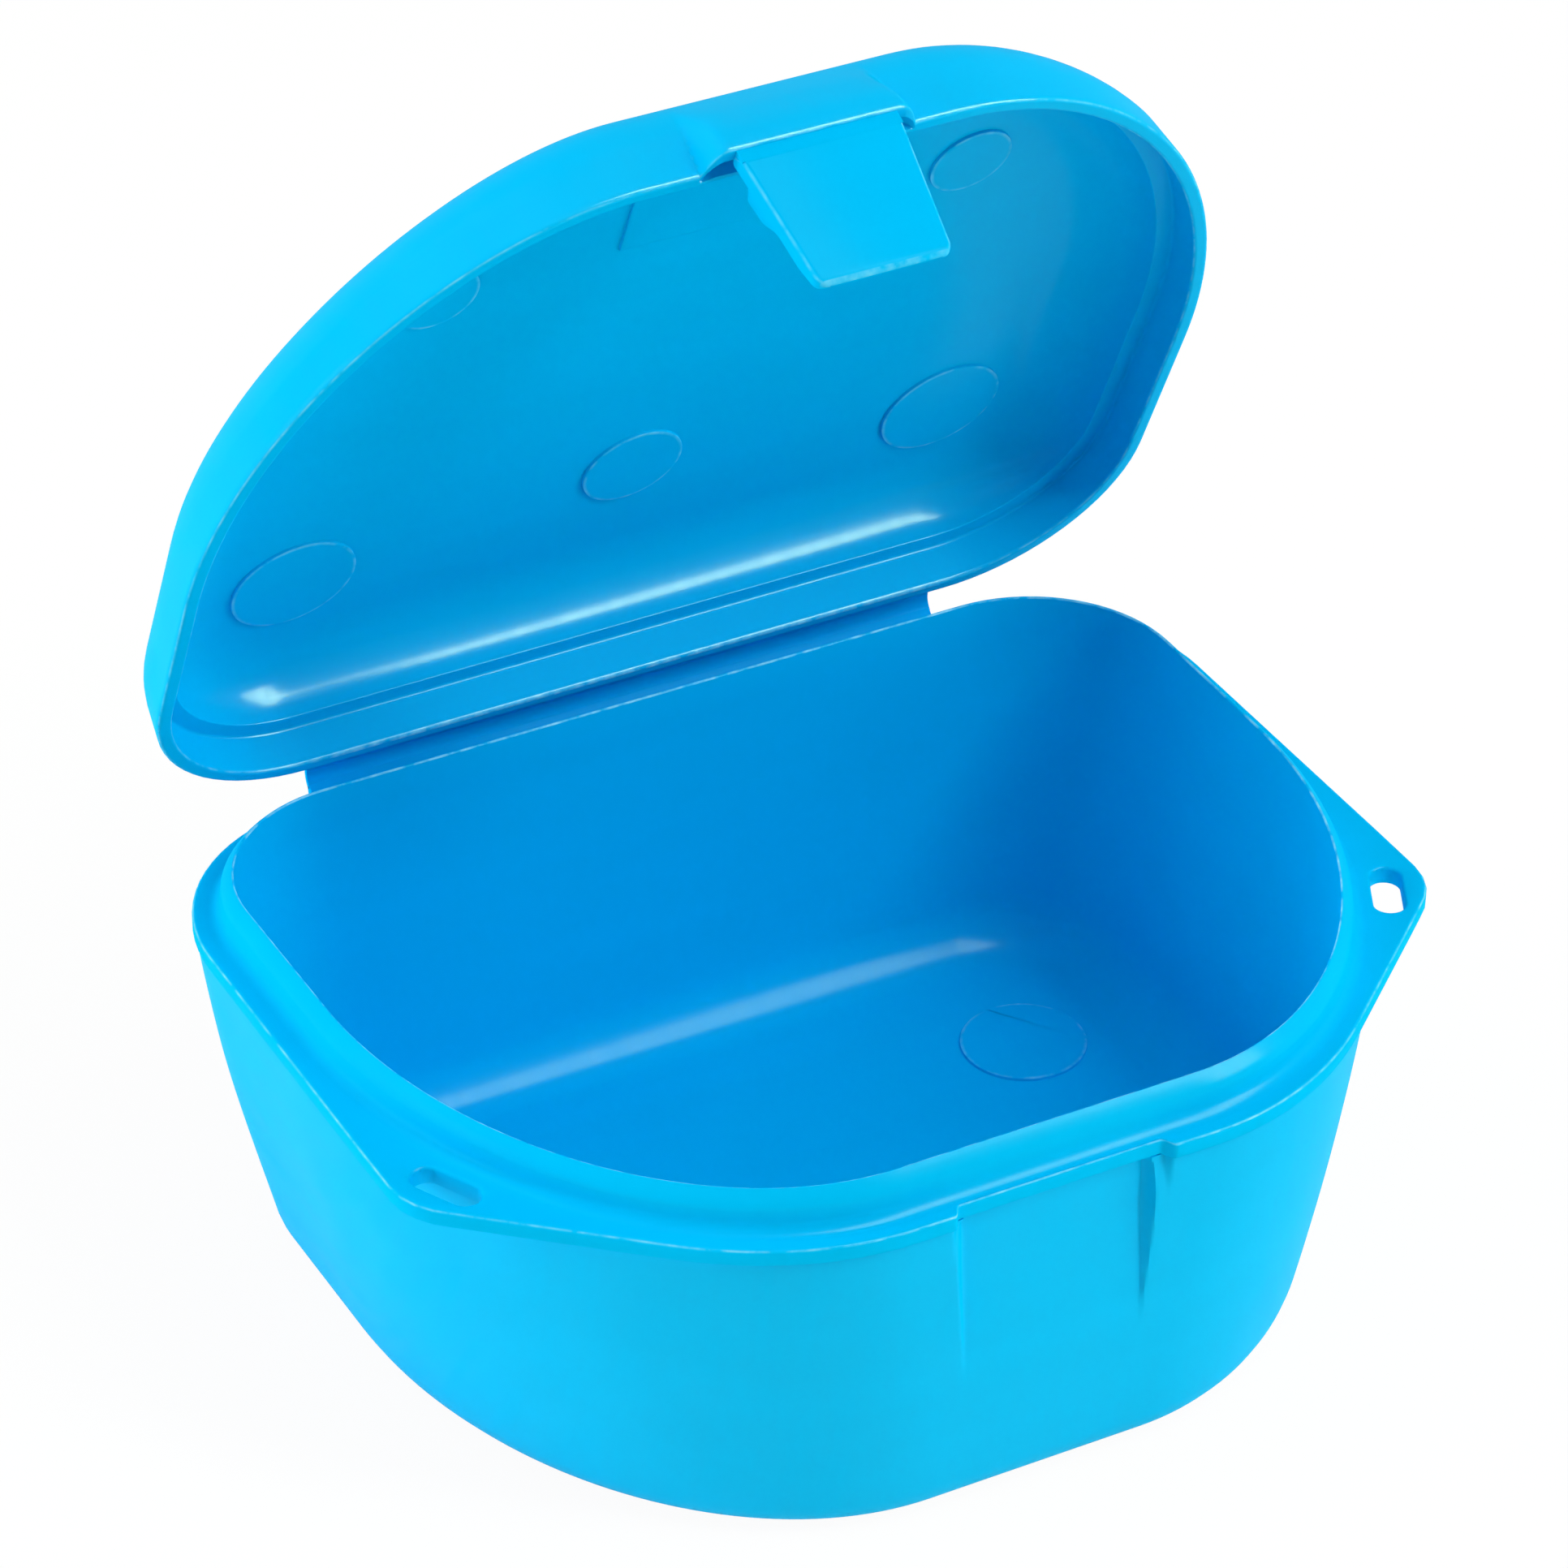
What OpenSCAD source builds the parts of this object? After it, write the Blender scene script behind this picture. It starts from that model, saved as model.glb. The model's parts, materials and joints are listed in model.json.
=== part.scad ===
// Orthodontic retainer case: a deep tub and a shallow lid on a strap hinge, with a flip latch.
// The front is at -Y, the hinge at +Y, and the base stands on Z = 0. The lid is drawn open.

/* [Case plan] */
// Width of the tub's collar, outside
case_w = 70; // [64:0.5:84]
// Depth of the tub's collar from front to back, outside
case_d = 55; // [50:0.5:68]
// Straight length across the front
front_flat = 21; // [18:0.5:27]
// Radius of the two back corners
back_r = 11; // [9:0.5:15]
// How far behind the middle the straight sides start to curve towards the front
side_turn = 4.7; // [0:0.1:8]
// How full the front corners are, as a share of the square corner
front_fullness = 0.53; // [0.48:0.01:0.6]

/* [Tub] */
// Height of the tub to the top of its collar
tub_h = 28.2; // [24:0.1:40]
// Height of the collar above the flange
collar_h = 2.8; // [2:0.1:3.4]
// Thickness of the collar
collar_t = 0.9; // [0.7:0.05:1.2]
// How far the wall stands out from the collar, just under the flange
wall_out = 1.55; // [1.2:0.05:1.75]
// Thickness of the tub's wall at the base
tub_wall = 1.5; // [1.3:0.1:2.2]
// Thickness of the tub's floor
tub_floor = 1.4; // [1:0.1:2.5]
// How far the front wall leans in at the base
front_draft = 2.1; // [1.6:0.1:3.2]
// How far each side wall leans in at the base
side_draft = 4.5; // [2:0.1:5]
// How far the back wall leans in at the base
back_draft = 3.3; // [2:0.1:5]
// How much shorter the straight front is at the base
flat_draft = 5.9; // [4:0.1:10]
// How much smaller the radius of the back corners is at the base
corner_draft = 2.3; // [0:0.1:4]
// How far the walls belly out at half their height
wall_belly = 0.4; // [0:0.05:0.8]
// Radius of the outer edge of the base
base_edge_r = 2.5; // [0.6:0.1:2.8]
// Radius between the tub's walls and its floor, inside
floor_r = 3.2; // [2:0.1:4]

/* [Flange and ears] */
// How far the flange stands out from the collar
flange_out = 1.9; // [1.6:0.1:2.4]
// Thickness of the flange
flange_t = 1.2; // [0.9:0.1:1.6]
// How far each ear's centre lies in from the collar's side
ear_in = 2.3; // [1.4:0.1:3]
// Distance of each ear's centre behind the collar's front
ear_from_front = 16.8; // [15:0.1:20]
// Radius of each ear's tip
ear_r = 4.4; // [4.2:0.1:6]
// Length of the cord slot in each ear
slot_l = 4.8; // [4:0.1:5.2]
// Width of the cord slot in each ear
slot_w = 2; // [1.4:0.1:2.4]
// How far each slot's centre lies out from its ear's centre
slot_out = 1.3; // [1:0.05:1.6]
// How far each slot's centre lies ahead of its ear's centre
slot_ahead = 2; // [1.4:0.1:2.2]
// Turn of each slot along the collar, in degrees
slot_turn = 27; // [20:1:35]

/* [Lid] */
// Height of the lid, from its rim to its top
lid_h = 7.85; // [7.2:0.05:12]
// Thickness of the lid's top
lid_top = 0.9; // [0.8:0.05:1.2]
// Thickness of the lid's skirt at the rim
skirt_t = 1.05; // [0.9:0.05:1.4]
// How far the skirt leans in below its rounded edge
skirt_draft = 0.4; // [0.2:0.1:0.9]
// How far each side of the lid leans in from its ledge to its top
lid_side_draft = 0.9; // [0:0.1:2]
// How much shorter the straight front is at the lid's top
lid_flat_draft = 2.4; // [0:0.1:5]
// How full the front corners are at the lid's top
lid_fullness = 0.47; // [0.42:0.01:0.53]
// Radius of the lid's rounded top edge
lid_edge_r = 4.8; // [3:0.1:5]
// Radius between the lid's skirt and its ceiling, inside
ceiling_r = 3; // [1.5:0.1:3.2]
// How far the ledge over the collar steps in
ledge_w = 0.9; // [0.4:0.1:1.4]
// Angle of the lid above its shut place, as drawn
lid_open = 65; // [0:1:180]

/* [Hinge] */
// How far the strap's ends stay in from the back corners
strap_end = 0.5; // [0:0.1:6]
// Thickness of the strap's two leaves
strap_t = 0.8; // [0.6:0.05:0.9]
// Distance of the fold line behind the collar
fold_back = 3.55; // [3.4:0.05:5]
// Height of the fold line above the flange
fold_up = 1.1; // [0.7:0.05:1.2]
// Radius of the bead that stands for a folding film
film_r = 0.3; // [0.25:0.01:0.35]

/* [Latch] */
// Width of the latch tab at its root
latch_root_w = 11.2; // [9:0.1:12]
// Width of the latch tab at its tip
latch_tip_w = 9.2; // [7:0.1:11]
// Length of the latch tab
latch_l = 10.2; // [9:0.1:12.5]
// Thickness of the latch tab
latch_t = 1.2; // [1:0.05:1.3]
// How far the latch's tip lies closer to the tub than its root
latch_lean = 0.7; // [0:0.1:0.9]
// Height of the catch bead along the tab
bead_h = 3; // [2.4:0.1:3.4]
// How far the notch in the flange reaches past each side of the latch
notch_side = 1.6; // [1:0.1:2.4]
// How far the notch cuts the flange back
notch_in = 0.9; // [0.7:0.05:1.1]
// How far the flat panel on the tub reaches past each side of the latch
panel_side = 0.8; // [0.4:0.1:1.2]
// How far the panel lies behind the wall, just under the flange
panel_in = 1.3; // [1.2:0.05:1.6]
// Height at which the panel runs out into the wall
panel_low = 11.8; // [9:0.1:14]

/* [Hood over the latch] */
// How far the hood's lower edge reaches past each side of the latch
hood_side = 0.6; // [0.4:0.1:1.6]
// How much wider the hood is where it meets the skirt, on each side
hood_flare = 1; // [0:0.1:2]
// How far the hood stands out from the skirt's rim
hood_out = 2.15; // [1.9:0.05:2.5]
// Height of the hood from the rim to where it fades out
hood_h = 4.2; // [3:0.1:5]

/* [Discs and pad] */
// Radius of the two round marks on the tub's floor
floor_disc_r = 4.4; // [3:0.1:5]
// Distance of each floor mark in from the collar's side
floor_disc_side = 13.6; // [12.8:0.1:18]
// Distance of each floor mark ahead of the collar's back
floor_disc_rear = 15.2; // [13:0.1:19]
// Radius of the two rear marks in the lid, centred on the back corners
rear_disc_r = 4.4; // [3:0.1:5]
// Radius of the middle mark in the lid
mid_disc_r = 3.6; // [3:0.1:5]
// Distance of the middle mark ahead of the collar's back
mid_disc_rear = 14.2; // [12:0.1:18]
// Radius of the two front marks in the lid
front_disc_r = 2.9; // [2:0.1:4]
// Distance of each front mark in from the collar's side
front_disc_side = 16.1; // [14:0.1:20]
// Distance of each front mark behind the collar's front
front_disc_front = 15.1; // [14:0.1:20]
// Height that the marks and the pad stand proud
disc_proud = 0.15; // [0.1:0.05:0.3]
// Width of the pad inside the lid, behind the latch
pad_w = 12.6; // [9:0.1:16]
// Length of that pad from the collar's front
pad_l = 15; // [10:0.5:20]

/* [Clearances] */
// Gap between the lid's rim and the flange when the lid is shut
seat_gap = 0.15; // [0.1:0.05:0.3]
// Gap between the lid's skirt and the collar
collar_gap = 0.3; // [0.3:0.05:0.5]
// Gap between the top of the collar and the lid's ledge
ledge_gap = 0.25; // [0.2:0.05:0.4]
// Running gap between a film's bead and the leaf that turns on it
film_gap = 0.05; // [0.03:0.01:0.08]
// Gap between the catch bead and the notch while the lid shuts
bead_gap = 0.2; // [0.2:0.05:0.4]
// Height of the catch bead's top below the flange
catch_gap = 0.7; // [0.6:0.05:1.2]

/* [Hidden] */
$fn = 48;
case_blue = [0, 0.62, 0.93];
film_blue = [0, 0.5, 0.85];

// Number of chords along each front corner, each back corner, each fillet and the height of the wall
front_steps = 14;
back_steps = 8;
fillet_steps = 4;
wall_steps = 4;
// Overlap that lets joined solids merge and cuts pass right through
bite = 0.3;
// Rounding of the thin edges of the collar and of the lid's rim
lip_round = 0.25;
// Thickness of a film where it folds, and the length over which a leaf narrows to it
film_t = 0.16;
film_taper = 1.4;

// Heights in the shut case
flange_z = tub_h - collar_h;
flange_low = flange_z - flange_t;
rim_z = flange_z + seat_gap;
ledge_z = tub_h + ledge_gap;
ceiling_z = rim_z + lid_h - lid_top;
edge_z = rim_z + lid_h - lid_edge_r;

// Skirt of the lid, measured outwards from the collar
skirt_out = collar_gap + skirt_t;
skirt_top = skirt_out - skirt_draft;
inner_wall = collar_gap - ledge_w;

// Strap hinge
strap_l = case_w - 2 * back_r - 2 * strap_end;
fold = [case_d / 2 + fold_back, flange_z + fold_up];
flange_back = case_d / 2 + flange_out;
rim_back = case_d / 2 + skirt_out;
// Height of the lid's leaf above the rim, to its middle, and of the land that carries it
lid_leaf_up = 1.4;
land_h = 2.4;

// Latch and hood, with the latch's fold line just under the hood
hood_front = case_d / 2 + skirt_out + hood_out;
hood_w = latch_root_w + 2 * hood_side;
hood_lip = 0.7;
latch_fold_in = 0.6;
latch_face_in = 0.1;
// Length over which the latch narrows to its film, and the slope on the inside of its tip
latch_taper = 0.8;
tip_bevel = 3;
latch_fold = [latch_fold_in - hood_front, rim_z - film_r / 2];
notch_w = latch_root_w + 2 * notch_side;
notch_y = case_d / 2 + flange_out - notch_in;
panel_w = latch_root_w + 2 * panel_side;
panel_y = case_d / 2 + wall_out - panel_in;
panel_lift = panel_low / flange_z;
panel_foot = case_d / 2 - front_draft * (1 - panel_lift) + wall_out + belly(panel_low);

// Leans as front, side, back, straight front, back corner and fullness, at the base and at the lid's top
no_lean = [0, 0, 0, 0, 0, 0];
tub_lean = [front_draft, side_draft, back_draft, flat_draft, corner_draft, 0];
lid_lean = [0, lid_side_draft, 0, lid_flat_draft, 0, front_fullness - lid_fullness];

function bezier(a, b, c, d, t) =
    pow(1 - t, 3) * a + 3 * pow(1 - t, 2) * t * b + 3 * (1 - t) * t * t * c + pow(t, 3) * d;

// Right half of the plan from front to back, grown by e and drawn in by a lean
function half_plan(e, lean) =
    let (
        front = case_d / 2 - lean[0] + e,
        w = case_w / 2 - lean[1] + e,
        back = case_d / 2 - lean[2] + e,
        flat = (front_flat - lean[3]) / 2,
        r = back_r - lean[4] + e,
        full = front_fullness - lean[5],
        a = [flat, -front],
        d = [w, side_turn],
        b = a + [full * (w - flat), 0],
        c = d - [0, full * (side_turn + front)]
    )
    concat(
        [for (i = [0:front_steps]) bezier(a, b, c, d, i / front_steps)],
        [for (i = [0:back_steps]) let (q = 90 * i / back_steps) [w - r, back - r] + r * [cos(q), sin(q)]]
    );

function plan(e, lean = no_lean) =
    let (half = half_plan(e, lean), n = len(half))
    concat(half, [for (i = [n - 1:-1:0]) [-half[i][0], half[i][1]]]);

// One level of a shell: the plan grown by e, at height z
function tub_ring(e, z) = [for (p = plan(e, tub_lean * max(0, 1 - z / flange_z))) [p[0], p[1], z]];
function belly(z) = wall_belly * 4 * z / flange_z * (1 - z / flange_z);
function outer_ring(e, z) = tub_ring(e + wall_out + belly(z), z);
function inner_ring(e, z) =
    let (deep = 1 - z / flange_z)
    tub_ring(e - collar_t + (wall_out - tub_wall + collar_t) * deep + belly(z), z);
function lid_ring(e, z) =
    let (share = max(0, z - ledge_z) / (rim_z + lid_h - ledge_z))
    [for (p = plan(e, lid_lean * share)) [p[0], p[1], z]];

function fillet_angles() = [for (i = [0:fillet_steps]) 90 * i / fillet_steps];

// Closed shell through a list of rings, from the face that looks down to the one that looks up
module shell(rings) {
    n = len(rings[0]);
    last = len(rings) - 1;
    sides = [
        for (i = [0:last - 1], j = [0:n - 1])
            let (k = (j + 1) % n, low = i * n, high = low + n)
            each [[low + j, high + j, high + k], [low + j, high + k, low + k]]
    ];
    under = [for (j = [0:n - 1]) j];
    over = [for (j = [n - 1:-1:0]) last * n + j];
    polyhedron([for (ring = rings) each ring], concat(sides, [under, over]), convexity = 6);
}

// Places a piece of the shut lid at the angle at which the lid is drawn
module with_lid() {
    translate([0, fold[0], fold[1]])
        rotate([-lid_open, 0, 0])
        translate([0, -fold[0], -fold[1]])
        children();
}

// Prism along X, centred on X = 0, from an outline given as Y and Z
module bar(length, outline) {
    translate([-length / 2, 0, 0]) rotate([90, 0, 90]) linear_extrude(length) polygon(outline);
}

// Round bar along X through a point given as Y and Z
module rod(length, at, r) {
    translate([-length / 2, at[0], at[1]]) rotate([0, 90, 0]) cylinder(h = length, r = r);
}

// Box between two corners
module box(low, high) {
    translate(low) cube(high - low);
}

// Half of the hinge strap: a leaf that narrows from its root to the film on the fold line
module strap_leaf(root, socket_r) {
    along = (root - fold) / norm(root - fold);
    across = [-along[1], along[0]];
    shoulder = fold + film_taper * along;
    half_root = [0, strap_t / 2 * sign(across[1])];
    difference() {
        bar(strap_l, [
            fold - across * film_t / 2,
            shoulder - across * strap_t / 2,
            root - half_root,
            root + half_root,
            shoulder + across * strap_t / 2,
            fold + across * film_t / 2
        ]);
        rod(strap_l + 2 * bite, fold, socket_r);
    }
}

// Raised round mark left by the mould, on a face that looks up or, with drop, down
module disc(at, r, z, drop = false) {
    translate([at[0], at[1], drop ? z - disc_proud : z - bite]) cylinder(h = disc_proud + bite, r = r);
}

// Flange around the collar with the two cord ears, as a plan
module flange_plan() {
    ear = [case_w / 2 - ear_in, ear_from_front - case_d / 2];
    difference() {
        hull() {
            polygon(plan(flange_out));
            for (s = [-1, 1]) translate([s * ear[0], ear[1]]) circle(r = ear_r, $fn = 32);
        }
        polygon(plan(-collar_t / 2));
        translate([-notch_w / 2, -hood_front]) square([notch_w, hood_front - notch_y]);
        for (s = [-1, 1]) {
            translate([s * (ear[0] + slot_out), ear[1] - slot_ahead]) rotate(-s * slot_turn) {
                square([slot_w, slot_l - slot_w], center = true);
                for (end = [-1, 1]) translate([0, end * (slot_l - slot_w) / 2]) circle(d = slot_w);
            }
        }
    }
}

// One level of the cut for the flat panel, with sides that slope out at 45 degrees
module panel_level(y, z) {
    slope = hood_front - y;
    translate([0, 0, z - bite]) linear_extrude(bite) polygon([
        [-panel_w / 2, -y],
        [panel_w / 2, -y],
        [panel_w / 2 + slope, -hood_front],
        [-panel_w / 2 - slope, -hood_front]
    ]);
}

module tub() {
    wall_top = flange_low + bite;
    wall_foot = tub_floor + floor_r;
    rings = concat(
        [
            for (q = fillet_angles())
                outer_ring(-base_edge_r * (1 - sin(q)), base_edge_r * (1 - cos(q)))
        ],
        [for (i = [1:wall_steps]) outer_ring(0, base_edge_r + (wall_top - base_edge_r) * i / wall_steps)],
        [
            tub_ring(0, wall_top),
            tub_ring(0, tub_h - lip_round),
            tub_ring(-lip_round, tub_h),
            tub_ring(lip_round - collar_t, tub_h),
            tub_ring(-collar_t, tub_h - lip_round),
            tub_ring(-collar_t, flange_z)
        ],
        [for (i = [1:wall_steps - 1]) inner_ring(0, flange_z - (flange_z - wall_foot) * i / wall_steps)],
        [
            for (q = fillet_angles())
                inner_ring(-floor_r * (1 - cos(q)), tub_floor + floor_r * (1 - sin(q)))
        ]
    );
    mark_x = case_w / 2 - floor_disc_side;
    mark_y = case_d / 2 - floor_disc_rear;
    color(case_blue) difference() {
        union() {
            shell(rings);
            translate([0, 0, flange_low]) linear_extrude(flange_t) flange_plan();
            for (s = [-1, 1]) disc([s * mark_x, mark_y], floor_disc_r, tub_floor);
        }
        hull() {
            panel_level(panel_y, flange_low);
            panel_level(panel_foot, panel_low);
        }
    }
}

module tub_hinge_leaf() {
    color(case_blue) strap_leaf([flange_back, (flange_low + flange_z) / 2], film_r);
}

module hinge_film() {
    color(film_blue) rod(strap_l, fold, film_r);
}

module lid_hinge_leaf() {
    color(case_blue) with_lid() strap_leaf([rim_back, rim_z + lid_leaf_up], film_r + film_gap);
}

// Visor that shades the latch's root: widest where it meets the skirt, and fading out above
module hood() {
    root_y = case_d / 2 + collar_gap + skirt_t / 2;
    fade_y = case_d / 2 + inner_wall + bite;
    fade_z = rim_z + hood_h;
    root_w = hood_w + 2 * hood_flare;
    hull() {
        box([-hood_w / 2, -hood_front, rim_z], [hood_w / 2, -root_y, rim_z + hood_lip]);
        box([-root_w / 2, -root_y - bite, rim_z], [root_w / 2, -root_y, rim_z + hood_lip]);
        box([-hood_w / 2, -fade_y - bite, fade_z - bite], [hood_w / 2, -fade_y, fade_z]);
    }
}

module lid() {
    rings = concat(
        [
            for (q = fillet_angles())
                lid_ring(inner_wall - ceiling_r * (1 - sin(q)), ceiling_z - ceiling_r * (1 - cos(q)))
        ],
        [
            lid_ring(inner_wall, ledge_z),
            lid_ring(collar_gap, ledge_z),
            lid_ring(collar_gap, rim_z + lip_round),
            lid_ring(collar_gap + lip_round, rim_z),
            lid_ring(skirt_out - lip_round, rim_z),
            lid_ring(skirt_out, rim_z + lip_round)
        ],
        [
            for (q = fillet_angles())
                lid_ring(skirt_top - lid_edge_r * (1 - cos(q)), edge_z + lid_edge_r * sin(q))
        ]
    );
    land_y = case_d / 2 + collar_gap + bite;
    pad_front = ceiling_r - inner_wall - case_d / 2;
    pad_back = pad_l - case_d / 2;
    front_mark = [case_w / 2 - front_disc_side, front_disc_front - case_d / 2];
    color(case_blue) with_lid() difference() {
        union() {
            shell(rings);
            hood();
            box([-strap_l / 2, land_y, rim_z], [strap_l / 2, rim_back, rim_z + land_h]);
            box([-pad_w / 2, pad_front, ceiling_z - disc_proud], [pad_w / 2, pad_back, ceiling_z + bite]);
            disc([0, case_d / 2 - mid_disc_rear], mid_disc_r, ceiling_z, true);
            for (s = [-1, 1]) {
                disc([s * (case_w / 2 - back_r), case_d / 2 - back_r], rear_disc_r, ceiling_z, true);
                disc([s * front_mark[0], front_mark[1]], front_disc_r, ceiling_z, true);
            }
        }
        rod(latch_root_w, latch_fold, film_r);
    }
}

module latch_film() {
    color(film_blue) with_lid() rod(latch_root_w, latch_fold, film_r);
}

module latch_tab() {
    face = latch_face_in - latch_fold_in;
    shoulder = -latch_taper;
    bead_top = flange_low - catch_gap - latch_fold[1];
    bead_low = bead_top - bead_h;
    bead_tip = -notch_y - bead_gap - latch_fold[0];
    tip_in = latch_t + latch_lean + face;
    profile = [
        [-film_t / 2, 0],
        [face, shoulder],
        [face + latch_lean, -latch_l],
        [face + latch_lean + latch_t / 2, -latch_l],
        [tip_in, -latch_l + tip_bevel],
        [face + latch_t, bead_low],
        [bead_tip, bead_top - bead_h / 2],
        [bead_tip, bead_top],
        [face + latch_t, bead_top],
        [face + latch_t, shoulder],
        [film_t / 2, 0]
    ];
    tip_z = latch_fold[1] - latch_l;
    color(case_blue) with_lid() difference() {
        intersection() {
            bar(latch_root_w, [for (p = profile) p + latch_fold]);
            rotate([90, 0, 0]) linear_extrude(2 * hood_front, center = true) polygon([
                [-latch_tip_w / 2, tip_z - bite],
                [latch_tip_w / 2, tip_z - bite],
                [latch_root_w / 2, latch_fold[1]],
                [-latch_root_w / 2, latch_fold[1]]
            ]);
        }
        rod(latch_root_w + 2 * bite, latch_fold, film_r + film_gap);
    }
}

tub();
tub_hinge_leaf();
hinge_film();
lid_hinge_leaf();
lid();
latch_film();
latch_tab();
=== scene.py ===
import json
import math

import bmesh
import bpy
from mathutils import Matrix, Vector
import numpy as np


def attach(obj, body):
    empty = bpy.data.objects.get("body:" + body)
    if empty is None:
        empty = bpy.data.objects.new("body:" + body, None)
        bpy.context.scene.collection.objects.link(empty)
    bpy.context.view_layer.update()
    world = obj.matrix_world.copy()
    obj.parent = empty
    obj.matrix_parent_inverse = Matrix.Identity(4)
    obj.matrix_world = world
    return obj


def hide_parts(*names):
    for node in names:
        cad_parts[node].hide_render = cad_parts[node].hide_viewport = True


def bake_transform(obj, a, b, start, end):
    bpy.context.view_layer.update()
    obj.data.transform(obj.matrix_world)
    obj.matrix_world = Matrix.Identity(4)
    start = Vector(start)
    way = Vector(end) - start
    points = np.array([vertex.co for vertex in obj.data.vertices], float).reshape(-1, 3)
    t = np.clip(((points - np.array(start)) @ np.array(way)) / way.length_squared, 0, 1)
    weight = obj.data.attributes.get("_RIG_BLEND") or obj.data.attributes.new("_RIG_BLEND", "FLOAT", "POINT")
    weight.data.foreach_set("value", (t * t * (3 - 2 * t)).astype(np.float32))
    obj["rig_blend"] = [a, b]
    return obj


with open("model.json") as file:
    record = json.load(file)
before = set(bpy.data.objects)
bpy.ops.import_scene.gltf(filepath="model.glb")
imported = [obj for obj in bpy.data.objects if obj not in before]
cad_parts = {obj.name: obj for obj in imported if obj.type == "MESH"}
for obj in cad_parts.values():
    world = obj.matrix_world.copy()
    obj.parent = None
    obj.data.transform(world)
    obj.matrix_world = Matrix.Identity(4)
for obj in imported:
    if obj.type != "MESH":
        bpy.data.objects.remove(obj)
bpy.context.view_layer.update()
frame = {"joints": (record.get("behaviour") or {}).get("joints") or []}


# Tub. The deep half of the case, shot in blue polypropylene in one go with the strap, lid and latch.
# Wall, flange, ears and collar are one skin of about 1.5 mm, with draft so that it leaves the mould.
mm = 0.001
case_w = 70 * mm
case_d = 55 * mm
front_flat = 21 * mm
back_r = 11 * mm
side_turn = 4.7 * mm
front_fullness = 0.53
tub_h = 28.2 * mm
flange_z = 25.4 * mm
flange_low = 24.2 * mm
flange_out = 1.9 * mm
collar_t = 0.9 * mm
wall_out = 1.55 * mm
wall_belly = 0.4 * mm
tub_wall = 1.5 * mm
tub_floor = 1.4 * mm
base_edge_r = 2.5 * mm
floor_r = 3.2 * mm
lip_w = 0.76 * mm
lip_h = 1.3 * mm
lip_curve = 1.7
lip_edge_r = 0.14 * mm
collar_foot_r = 0.9 * mm
flange_edge_r = 0.25 * mm
cap_band = 0.6 * mm
# Lean of the front, sides, back, straight front, back corners and fullness, from the flange to the base
tub_lean = [2.1 * mm, 4.5 * mm, 3.3 * mm, 5.9 * mm, 2.3 * mm, 0]

# Columns of the skin over the straight front are closest where the notch, panel and hood end.
# Where the front is narrower, they close up and fill most of it.
front_columns = [0, 1.6, 3.2, 4.6, 5.6, 6, 6.2, 6.4, 6.55, 6.7, 6.85, 7, 7.12, 7.24]
front_columns += [7.34, 7.42, 7.5, 7.58, 7.66, 7.78, 7.95]
front_use = 0.98
gap_columns = 5
corner_columns = 46
side_columns = 8
back_columns = 18
rear_columns = 12


def corner_curve(a, b, c, d, t):
    """Point at share t of the curve that turns a front corner."""
    s = 1 - t
    return s * s * s * a + 3 * s * s * t * b + 3 * s * t * t * c + t * t * t * d


def case_plan(grown, lean):
    """Points round the case seen from above, from the middle of the front to the right and on round."""
    front_in, side_in, back_in, flat_in, corner_in, full_in = lean
    front = case_d / 2 - front_in + grown
    side = case_w / 2 - side_in + grown
    back = case_d / 2 - back_in + grown
    flat = (front_flat - flat_in) / 2
    corner = back_r - corner_in + grown
    full = front_fullness - full_in
    start = Vector((flat, -front))
    end = Vector((side, side_turn))
    after = start + Vector((full * (side - flat), 0))
    before = end - Vector((0, full * (side_turn + front)))
    middle = Vector((side - corner, back - corner))
    squeeze = min(1, front_use * flat / (front_columns[-1] * mm))
    half = [Vector((x * mm * squeeze, -front)) for x in front_columns]
    last = half[-1]
    half += [last.lerp(start, i / gap_columns) for i in range(1, gap_columns)]
    half += [corner_curve(start, after, before, end, i / corner_columns) for i in range(corner_columns)]
    half += [end.lerp(Vector((side, middle.y)), i / side_columns) for i in range(side_columns)]
    for i in range(back_columns):
        turn = math.pi / 2 * i / back_columns
        half.append(middle + corner * Vector((math.cos(turn), math.sin(turn))))
    half += [Vector((middle.x * (1 - i / rear_columns), back)) for i in range(rear_columns + 1)]
    return half + [Vector((-p.x, p.y)) for p in half[-2:0:-1]]


def ease(low, high, value):
    """Rises smoothly from 0 at low to 1 at high."""
    share = min(1, max(0, (value - low) / (high - low)))
    return share * share * (3 - 2 * share)


def quarter(steps):
    """Sine and cosine pairs through a quarter turn."""
    turns = [math.pi / 2 * i / steps for i in range(steps + 1)]
    return [(math.sin(turn), math.cos(turn)) for turn in turns]


def at_height(plan, z):
    """A plan's points at one height."""
    return [Vector((p.x, p.y, z)) for p in plan]


def tub_plan(grown, z):
    """Plan of the tub at a height, which draws in towards the base."""
    return case_plan(grown, [value * max(0, 1 - z / flange_z) for value in tub_lean])


def belly(z):
    """How far the walls swell at a height."""
    return 4 * wall_belly * z / flange_z * (1 - z / flange_z)


# The flat panel below the notch gives the latch room, and runs out into the wall
panel_left = -6.4 * mm
panel_right = 6.25 * mm
panel_in = 1.3 * mm
panel_low = 11.8 * mm
left_slope = 1.08
right_slope = 0.5
panel_round = 0.5 * mm
panel_top = 0.55 * mm
recess_low = 21.5 * mm
recess_half = 7.3 * mm


def front_wall(z):
    """Distance of the outer front wall from the middle of the case."""
    return case_d / 2 - tub_lean[0] * (1 - z / flange_z) + wall_out + belly(z)


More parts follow.
